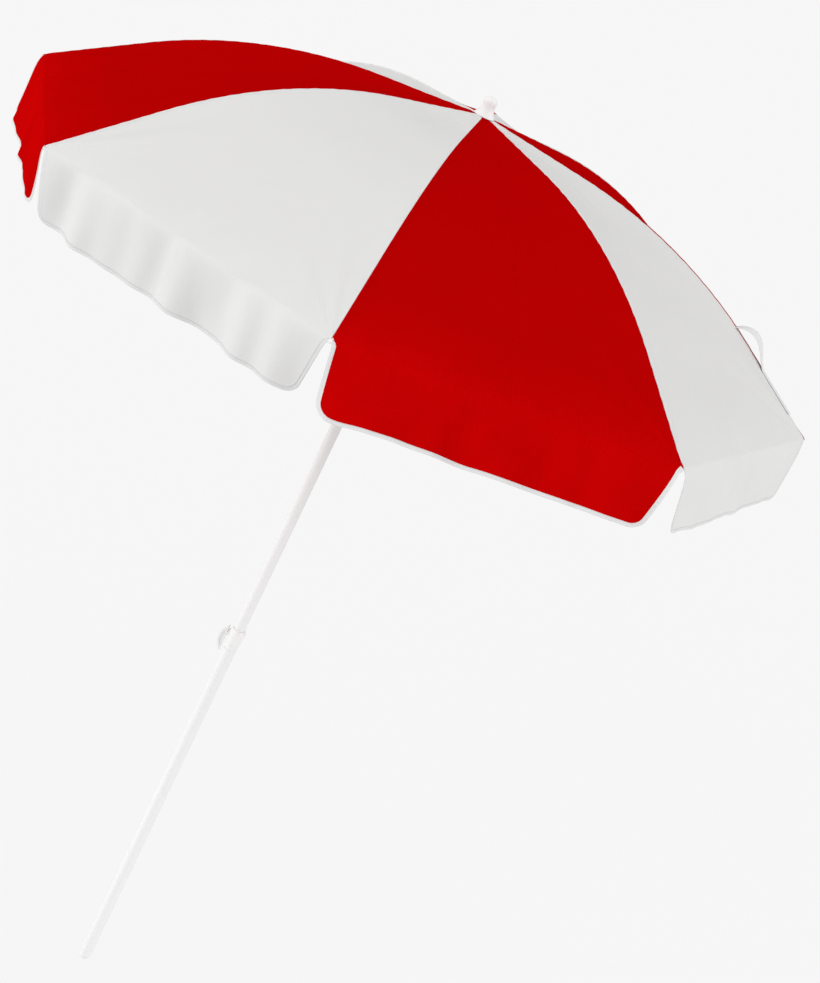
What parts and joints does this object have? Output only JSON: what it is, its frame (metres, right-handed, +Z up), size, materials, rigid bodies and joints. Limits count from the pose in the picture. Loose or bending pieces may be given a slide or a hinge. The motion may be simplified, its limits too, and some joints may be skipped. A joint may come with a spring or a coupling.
{
  "type": "beach umbrella",
  "caption": "Beach umbrella: two-part white pole with height clamp, folding rib and strut frame, and a red and white gored canopy with a hanging valance.",
  "frame": {"origin": "centre of the lower tube's bottom end, on the pole's axis; the foot plug stands out 9 mm below it", "axes": "+Z up along the pole to the cap, +X along rib 1, +Y along rib 3; the clamp screw points to -X"},
  "size_m": [1.5554, 1.5554, 1.9985],
  "materials": {
    "white_paint": "gloss",
    "white_plastic": "gloss",
    "grey_plastic": "matte",
    "rib_steel": "satin",
    "spring_steel": "satin",
    "red_cloth": "matte",
    "white_cloth": "matte",
    "white_tape": "matte"
  },
  "bodies": {
    "lower": {"lower_pole": "white_paint", "ground_tip": "white_plastic", "clamp_collar": "white_plastic"},
    "clamp_screw": {"thumb_screw": "white_plastic"},
    "pole_slide": {"pole_bush": "grey_plastic"},
    "mast": {"upper_pole": "white_paint", "crown_hub": "white_plastic", "crown_wire": "spring_steel", "finial": "white_plastic"},
    "catch": {"runner_catch": "spring_steel"},
    "runner": {"runner": "white_plastic"},
    "rib_1": {"rib_1": "rib_steel", "rib_tip_1": "white_plastic", "strap": "white_tape"},
    "stretcher_1": {"stretcher_1": "rib_steel"},
    "rib_2": {"rib_2": "rib_steel", "rib_tip_2": "white_plastic"},
    "stretcher_2": {"stretcher_2": "rib_steel"},
    "rib_3": {"rib_3": "rib_steel", "rib_tip_3": "white_plastic"},
    "stretcher_3": {"stretcher_3": "rib_steel"},
    "rib_4": {"rib_4": "rib_steel", "rib_tip_4": "white_plastic"},
    "stretcher_4": {"stretcher_4": "rib_steel"},
    "rib_5": {"rib_5": "rib_steel", "rib_tip_5": "white_plastic"},
    "stretcher_5": {"stretcher_5": "rib_steel"},
    "rib_6": {"rib_6": "rib_steel", "rib_tip_6": "white_plastic"},
    "stretcher_6": {"stretcher_6": "rib_steel"},
    "rib_7": {"rib_7": "rib_steel", "rib_tip_7": "white_plastic"},
    "stretcher_7": {"stretcher_7": "rib_steel"},
    "rib_8": {"rib_8": "rib_steel", "rib_tip_8": "white_plastic"},
    "stretcher_8": {"stretcher_8": "rib_steel"},
    "panel_1_left": {"panel_1_left": "red_cloth"},
    "panel_1_right": {"panel_1_right": "red_cloth"},
    "valance_1": {"valance_1": "red_cloth"},
    "panel_2_left": {"panel_2_left": "white_cloth"},
    "panel_2_right": {"panel_2_right": "white_cloth"},
    "valance_2": {"valance_2": "white_cloth"},
    "panel_3_left": {"panel_3_left": "red_cloth"},
    "panel_3_right": {"panel_3_right": "red_cloth"},
    "valance_3": {"valance_3": "red_cloth"},
    "panel_4_left": {"panel_4_left": "white_cloth"},
    "panel_4_right": {"panel_4_right": "white_cloth"},
    "valance_4": {"valance_4": "white_cloth"},
    "panel_5_left": {"panel_5_left": "red_cloth"},
    "panel_5_right": {"panel_5_right": "red_cloth"},
    "valance_5": {"valance_5": "red_cloth"},
    "panel_6_left": {"panel_6_left": "white_cloth"},
    "panel_6_right": {"panel_6_right": "white_cloth"},
    "valance_6": {"valance_6": "white_cloth"},
    "panel_7_left": {"panel_7_left": "red_cloth"},
    "panel_7_right": {"panel_7_right": "red_cloth"},
    "valance_7": {"valance_7": "red_cloth"},
    "panel_8_left": {"panel_8_left": "white_cloth"},
    "panel_8_right": {"panel_8_right": "white_cloth"},
    "valance_8": {"valance_8": "white_cloth"}
  },
  "joints": [
    {"name": "clamp_turn", "type": "hinge", "parent": "lower", "child": "clamp_screw", "pos_m": [-0.0185, 0, 0.834], "axis": [-1, 0, 0], "range_deg": [0, 360]},
    {"name": "height", "type": "slide", "parent": "lower", "child": "pole_slide", "axis": [0, 0, 1], "range_m": [-0.18, 0.06]},
    {"name": "swivel", "type": "hinge", "parent": "pole_slide", "child": "mast", "pos_m": [0, 0, 0.62], "axis": [0, 0, 1], "continuous": true},
    {"name": "catch_press", "type": "slide", "parent": "mast", "child": "catch", "axis": [-0.9239, -0.3827, 0], "range_m": [0, 0.004], "stiffness_N_per_m": 600},
    {"name": "runner_slide", "type": "slide", "parent": "mast", "child": "runner", "axis": [0, 0, -1], "range_m": [0, 0.505], "deforming": ["panel_1_left", "panel_1_right", "valance_1", "panel_2_left", "panel_2_right", "valance_2", "panel_3_left", "panel_3_right", "valance_3", "panel_4_left", "panel_4_right", "valance_4", "panel_5_left", "panel_5_right", "valance_5", "panel_6_left", "panel_6_right", "valance_6", "panel_7_left", "panel_7_right", "valance_7", "panel_8_left", "panel_8_right", "valance_8", "runner_catch", "strap"]},
    {"name": "rib_fold_1", "type": "hinge", "parent": "mast", "child": "rib_1", "pos_m": [0.02, 0, 1.953], "axis": [0, 1, 0], "range_deg": [0, 70.8]},
    {"name": "stretcher_fold_1", "type": "hinge", "parent": "rib_1", "child": "stretcher_1", "pos_m": [0.3731, 0, 1.8929], "axis": [0, -1, 0], "range_deg": [0, 125.17]},
    {"name": "rib_fold_2", "type": "hinge", "parent": "mast", "child": "rib_2", "pos_m": [0.01414, 0.01414, 1.953], "axis": [-0.7071, 0.7071, 0], "range_deg": [0, 70.8]},
    {"name": "stretcher_fold_2", "type": "hinge", "parent": "rib_2", "child": "stretcher_2", "pos_m": [0.26382, 0.26382, 1.8929], "axis": [0.7071, -0.7071, 0], "range_deg": [0, 125.17]},
    {"name": "rib_fold_3", "type": "hinge", "parent": "mast", "child": "rib_3", "pos_m": [0, 0.02, 1.953], "axis": [-1, 0, 0], "range_deg": [0, 70.8]},
    {"name": "stretcher_fold_3", "type": "hinge", "parent": "rib_3", "child": "stretcher_3", "pos_m": [0, 0.3731, 1.8929], "axis": [1, 0, 0], "range_deg": [0, 125.17]},
    {"name": "rib_fold_4", "type": "hinge", "parent": "mast", "child": "rib_4", "pos_m": [-0.01414, 0.01414, 1.953], "axis": [-0.7071, -0.7071, 0], "range_deg": [0, 70.8]},
    {"name": "stretcher_fold_4", "type": "hinge", "parent": "rib_4", "child": "stretcher_4", "pos_m": [-0.26382, 0.26382, 1.8929], "axis": [0.7071, 0.7071, 0], "range_deg": [0, 125.17]},
    {"name": "rib_fold_5", "type": "hinge", "parent": "mast", "child": "rib_5", "pos_m": [-0.02, 0, 1.953], "axis": [0, -1, 0], "range_deg": [0, 70.8]},
    {"name": "stretcher_fold_5", "type": "hinge", "parent": "rib_5", "child": "stretcher_5", "pos_m": [-0.3731, 0, 1.8929], "axis": [0, 1, 0], "range_deg": [0, 125.17]},
    {"name": "rib_fold_6", "type": "hinge", "parent": "mast", "child": "rib_6", "pos_m": [-0.01414, -0.01414, 1.953], "axis": [0.7071, -0.7071, 0], "range_deg": [0, 70.8]},
    {"name": "stretcher_fold_6", "type": "hinge", "parent": "rib_6", "child": "stretcher_6", "pos_m": [-0.26382, -0.26382, 1.8929], "axis": [-0.7071, 0.7071, 0], "range_deg": [0, 125.17]},
    {"name": "rib_fold_7", "type": "hinge", "parent": "mast", "child": "rib_7", "pos_m": [0, -0.02, 1.953], "axis": [1, 0, 0], "range_deg": [0, 70.8]},
    {"name": "stretcher_fold_7", "type": "hinge", "parent": "rib_7", "child": "stretcher_7", "pos_m": [0, -0.3731, 1.8929], "axis": [-1, 0, 0], "range_deg": [0, 125.17]},
    {"name": "rib_fold_8", "type": "hinge", "parent": "mast", "child": "rib_8", "pos_m": [0.01414, -0.01414, 1.953], "axis": [0.7071, 0.7071, 0], "range_deg": [0, 70.8]},
    {"name": "stretcher_fold_8", "type": "hinge", "parent": "rib_8", "child": "stretcher_8", "pos_m": [0.26382, -0.26382, 1.8929], "axis": [-0.7071, -0.7071, 0], "range_deg": [0, 125.17]},
    {"name": "pleat_1_left", "type": "hinge", "parent": "rib_1", "child": "panel_1_left", "pos_m": [0.00776, -0.00438, 1.94431], "axis": [-0.7818, -0.2834, -0.5554], "range_deg": [0, 25.65]},
    {"name": "pleat_1_right", "type": "hinge", "parent": "rib_2", "child": "panel_1_right", "pos_m": [0.00239, 0.00858, 1.94431], "axis": [0.7532, 0.3524, 0.5554], "range_deg": [0, 25.65]},
    {"name": "valance_hang_1", "type": "hinge", "parent": "panel_1_left", "child": "valance_1", "pos_m": [0.67514, 0.27965, 1.70504], "axis": [0.3827, -0.9239, 0], "range_deg": [0, 67.55]},
    {"name": "pleat_2_left", "type": "hinge", "parent": "rib_2", "child": "panel_2_left", "pos_m": [0.00858, 0.00239, 1.94431], "axis": [-0.3524, -0.7532, -0.5554], "range_deg": [0, 25.65]},
    {"name": "pleat_2_right", "type": "hinge", "parent": "rib_3", "child": "panel_2_right", "pos_m": [-0.00438, 0.00776, 1.94431], "axis": [0.2834, 0.7818, 0.5554], "range_deg": [0, 25.65]},
    {"name": "valance_hang_2", "type": "hinge", "parent": "panel_2_left", "child": "valance_2", "pos_m": [0.27965, 0.67514, 1.70504], "axis": [0.9239, -0.3827, 0], "range_deg": [0, 67.55]},
    {"name": "pleat_3_left", "type": "hinge", "parent": "rib_3", "child": "panel_3_left", "pos_m": [0.00438, 0.00776, 1.94431], "axis": [0.2834, -0.7818, -0.5554], "range_deg": [0, 25.65]},
    {"name": "pleat_3_right", "type": "hinge", "parent": "rib_4", "child": "panel_3_right", "pos_m": [-0.00858, 0.00239, 1.94431], "axis": [-0.3524, 0.7532, 0.5554], "range_deg": [0, 25.65]},
    {"name": "valance_hang_3", "type": "hinge", "parent": "panel_3_left", "child": "valance_3", "pos_m": [-0.27965, 0.67514, 1.70504], "axis": [0.9239, 0.3827, 0], "range_deg": [0, 67.55]},
    {"name": "pleat_4_left", "type": "hinge", "parent": "rib_4", "child": "panel_4_left", "pos_m": [-0.00239, 0.00858, 1.94431], "axis": [0.7532, -0.3524, -0.5554], "range_deg": [0, 25.65]},
    {"name": "pleat_4_right", "type": "hinge", "parent": "rib_5", "child": "panel_4_right", "pos_m": [-0.00776, -0.00438, 1.94431], "axis": [-0.7818, 0.2834, 0.5554], "range_deg": [0, 25.65]},
    {"name": "valance_hang_4", "type": "hinge", "parent": "panel_4_left", "child": "valance_4", "pos_m": [-0.67514, 0.27965, 1.70504], "axis": [0.3827, 0.9239, 0], "range_deg": [0, 67.55]},
    {"name": "pleat_5_left", "type": "hinge", "parent": "rib_5", "child": "panel_5_left", "pos_m": [-0.00776, 0.00438, 1.94431], "axis": [0.7818, 0.2834, -0.5554], "range_deg": [0, 25.65]},
    {"name": "pleat_5_right", "type": "hinge", "parent": "rib_6", "child": "panel_5_right", "pos_m": [-0.00239, -0.00858, 1.94431], "axis": [-0.7532, -0.3524, 0.5554], "range_deg": [0, 25.65]},
    {"name": "valance_hang_5", "type": "hinge", "parent": "panel_5_left", "child": "valance_5", "pos_m": [-0.67514, -0.27965, 1.70504], "axis": [-0.3827, 0.9239, 0], "range_deg": [0, 67.55]},
    {"name": "pleat_6_left", "type": "hinge", "parent": "rib_6", "child": "panel_6_left", "pos_m": [-0.00858, -0.00239, 1.94431], "axis": [0.3524, 0.7532, -0.5554], "range_deg": [0, 25.65]},
    {"name": "pleat_6_right", "type": "hinge", "parent": "rib_7", "child": "panel_6_right", "pos_m": [0.00438, -0.00776, 1.94431], "axis": [-0.2834, -0.7818, 0.5554], "range_deg": [0, 25.65]},
    {"name": "valance_hang_6", "type": "hinge", "parent": "panel_6_left", "child": "valance_6", "pos_m": [-0.27965, -0.67514, 1.70504], "axis": [-0.9239, 0.3827, 0], "range_deg": [0, 67.55]},
    {"name": "pleat_7_left", "type": "hinge", "parent": "rib_7", "child": "panel_7_left", "pos_m": [-0.00438, -0.00776, 1.94431], "axis": [-0.2834, 0.7818, -0.5554], "range_deg": [0, 25.65]},
    {"name": "pleat_7_right", "type": "hinge", "parent": "rib_8", "child": "panel_7_right", "pos_m": [0.00858, -0.00239, 1.94431], "axis": [0.3524, -0.7532, 0.5554], "range_deg": [0, 25.65]},
    {"name": "valance_hang_7", "type": "hinge", "parent": "panel_7_left", "child": "valance_7", "pos_m": [0.27965, -0.67514, 1.70504], "axis": [-0.9239, -0.3827, 0], "range_deg": [0, 67.55]},
    {"name": "pleat_8_left", "type": "hinge", "parent": "rib_8", "child": "panel_8_left", "pos_m": [0.00239, -0.00858, 1.94431], "axis": [-0.7532, 0.3524, -0.5554], "range_deg": [0, 25.65]},
    {"name": "pleat_8_right", "type": "hinge", "parent": "rib_1", "child": "panel_8_right", "pos_m": [0.00776, 0.00438, 1.94431], "axis": [0.7818, -0.2834, 0.5554], "range_deg": [0, 25.65]},
    {"name": "valance_hang_8", "type": "hinge", "parent": "panel_8_left", "child": "valance_8", "pos_m": [0.67514, -0.27965, 1.70504], "axis": [-0.3827, -0.9239, 0], "range_deg": [0, 67.55]}
  ],
  "couplings": [
    {"joint": "rib_fold_1", "follows": "runner_slide", "rad_per_m": 2.4462},
    {"joint": "stretcher_fold_1", "follows": "runner_slide", "rad_per_m": 4.3252},
    {"joint": "rib_fold_2", "follows": "runner_slide", "rad_per_m": 2.4462},
    {"joint": "stretcher_fold_2", "follows": "runner_slide", "rad_per_m": 4.3252},
    {"joint": "rib_fold_3", "follows": "runner_slide", "rad_per_m": 2.4462},
    {"joint": "stretcher_fold_3", "follows": "runner_slide", "rad_per_m": 4.3252},
    {"joint": "rib_fold_4", "follows": "runner_slide", "rad_per_m": 2.4462},
    {"joint": "stretcher_fold_4", "follows": "runner_slide", "rad_per_m": 4.3252},
    {"joint": "rib_fold_5", "follows": "runner_slide", "rad_per_m": 2.4462},
    {"joint": "stretcher_fold_5", "follows": "runner_slide", "rad_per_m": 4.3252},
    {"joint": "rib_fold_6", "follows": "runner_slide", "rad_per_m": 2.4462},
    {"joint": "stretcher_fold_6", "follows": "runner_slide", "rad_per_m": 4.3252},
    {"joint": "rib_fold_7", "follows": "runner_slide", "rad_per_m": 2.4462},
    {"joint": "stretcher_fold_7", "follows": "runner_slide", "rad_per_m": 4.3252},
    {"joint": "rib_fold_8", "follows": "runner_slide", "rad_per_m": 2.4462},
    {"joint": "stretcher_fold_8", "follows": "runner_slide", "rad_per_m": 4.3252},
    {"joint": "pleat_1_left", "follows": "runner_slide", "rad_per_m": 0.88571},
    {"joint": "pleat_1_right", "follows": "runner_slide", "rad_per_m": 0.88571},
    {"joint": "valance_hang_1", "follows": "runner_slide", "rad_per_m": 2.3339},
    {"joint": "pleat_2_left", "follows": "runner_slide", "rad_per_m": 0.88571},
    {"joint": "pleat_2_right", "follows": "runner_slide", "rad_per_m": 0.88571},
    {"joint": "valance_hang_2", "follows": "runner_slide", "rad_per_m": 2.3339},
    {"joint": "pleat_3_left", "follows": "runner_slide", "rad_per_m": 0.88571},
    {"joint": "pleat_3_right", "follows": "runner_slide", "rad_per_m": 0.88571},
    {"joint": "valance_hang_3", "follows": "runner_slide", "rad_per_m": 2.3339},
    {"joint": "pleat_4_left", "follows": "runner_slide", "rad_per_m": 0.88571},
    {"joint": "pleat_4_right", "follows": "runner_slide", "rad_per_m": 0.88571},
    {"joint": "valance_hang_4", "follows": "runner_slide", "rad_per_m": 2.3339},
    {"joint": "pleat_5_left", "follows": "runner_slide", "rad_per_m": 0.88571},
    {"joint": "pleat_5_right", "follows": "runner_slide", "rad_per_m": 0.88571},
    {"joint": "valance_hang_5", "follows": "runner_slide", "rad_per_m": 2.3339},
    {"joint": "pleat_6_left", "follows": "runner_slide", "rad_per_m": 0.88571},
    {"joint": "pleat_6_right", "follows": "runner_slide", "rad_per_m": 0.88571},
    {"joint": "valance_hang_6", "follows": "runner_slide", "rad_per_m": 2.3339},
    {"joint": "pleat_7_left", "follows": "runner_slide", "rad_per_m": 0.88571},
    {"joint": "pleat_7_right", "follows": "runner_slide", "rad_per_m": 0.88571},
    {"joint": "valance_hang_7", "follows": "runner_slide", "rad_per_m": 2.3339},
    {"joint": "pleat_8_left", "follows": "runner_slide", "rad_per_m": 0.88571},
    {"joint": "pleat_8_right", "follows": "runner_slide", "rad_per_m": 0.88571},
    {"joint": "valance_hang_8", "follows": "runner_slide", "rad_per_m": 2.3339}
  ]
}
